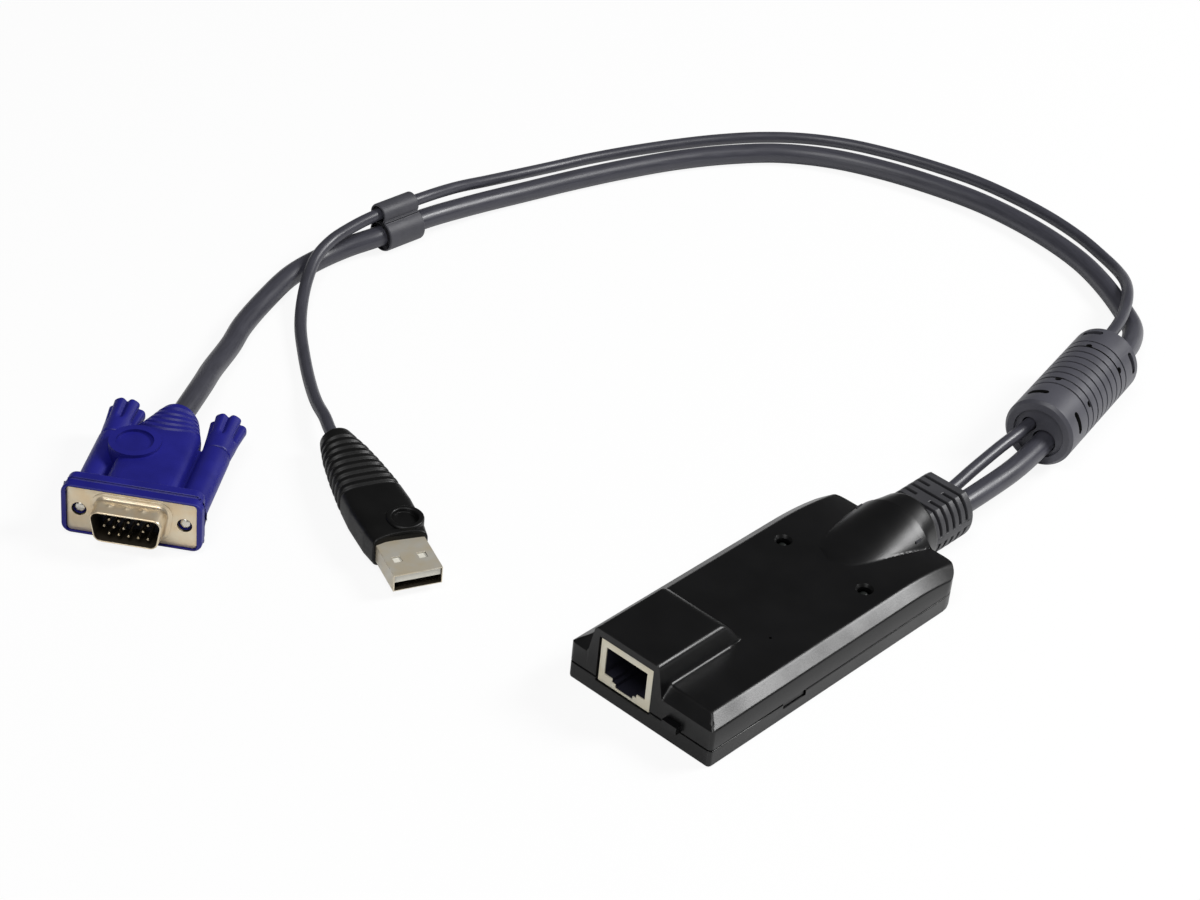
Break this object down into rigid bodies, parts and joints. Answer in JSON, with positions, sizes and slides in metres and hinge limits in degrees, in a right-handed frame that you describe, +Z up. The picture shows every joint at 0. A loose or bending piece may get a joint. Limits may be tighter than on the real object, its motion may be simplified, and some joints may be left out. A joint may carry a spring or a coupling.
{
  "type": "keyboard, video and mouse adapter",
  "caption": "Small flat housing with a network jack and, on leads through a gland, a video plug with thumbscrews and a flat data plug, with a ferrite and a clip on the leads.",
  "frame": {"origin": "on the surface it lies on, midway between the jack face and the gland's end, and midway between the housing's long sides", "axes": "+X to the housing's right seen from the jack, +Y from the jack to the gland, +Z up"},
  "size_m": [0.2061, 0.3034, 0.0184],
  "materials": {
    "housing": "fine grained black moulded plastic",
    "board": "green coated glass-fibre board",
    "chip": "black chip resin",
    "ceramic": "tan ceramic",
    "can": "drawn can",
    "plated_sheet": "nickel plated sheet",
    "black_plastic": "black insulating plastic",
    "gold_contact": "gold plated",
    "light_lens": "milky lens",
    "white_plastic": "white moulded plastic",
    "lead_jacket": "dark grey satin jacket",
    "soft_grey": "grey black soft moulding",
    "ferrite_plastic": "grey moulded plastic",
    "ferrite": "dark sintered ferrite",
    "blue_plastic": "deep blue moulding",
    "steel_rod": "turned and plated"
  },
  "bodies": {
    "adapter": {"top_cover": "housing", "bottom_cover": "housing", "main_board": "board", "processor_chip": "chip", "memory_chip": "chip", "driver_chips": "chip", "chip_capacitors": "ceramic", "electrolytic_capacitors": "can", "crystal": "can", "jack_shield": "plated_sheet", "jack_insulator": "black_plastic", "jack_contacts": "gold_contact", "online_light": "light_lens", "power_light": "light_lens", "light_spacers": "white_plastic", "switch_body": "black_plastic", "video_header": "white_plastic", "data_header": "white_plastic", "video_wires": "lead_jacket", "data_wires": "lead_jacket", "cable_gland": "soft_grey", "video_lead": "lead_jacket", "data_lead": "lead_jacket", "ferrite_cover": "ferrite_plastic", "ferrite_core": "ferrite", "lead_clip": "soft_grey", "video_plug_hood": "blue_plastic", "video_plug_shell": "plated_sheet", "video_plug_insulator": "black_plastic", "video_plug_pins": "gold_contact", "data_plug_hood": "housing", "data_plug_shell": "plated_sheet", "data_plug_tongue": "white_plastic", "data_plug_contacts": "gold_contact"},
    "slider": {"switch_slider": "black_plastic"},
    "left_thumbscrew": {"left_knob": "blue_plastic", "left_rod": "steel_rod"},
    "right_thumbscrew": {"right_knob": "blue_plastic", "right_rod": "steel_rod"}
  },
  "joints": [
    {"name": "switch_slide", "type": "slide", "parent": "adapter", "child": "slider", "axis": [1, 0, 0], "range_m": [0, 0.002]},
    {"name": "left_thumbscrew_turn", "type": "hinge", "parent": "adapter", "child": "left_thumbscrew", "pos_m": [-0.13151, -0.10321, 0.0074], "axis": [-0.565, 0.8251, 0], "continuous": true},
    {"name": "right_thumbscrew_turn", "type": "hinge", "parent": "adapter", "child": "right_thumbscrew", "pos_m": [-0.11089, -0.08909, 0.0074], "axis": [-0.565, 0.8251, 0], "continuous": true}
  ]
}
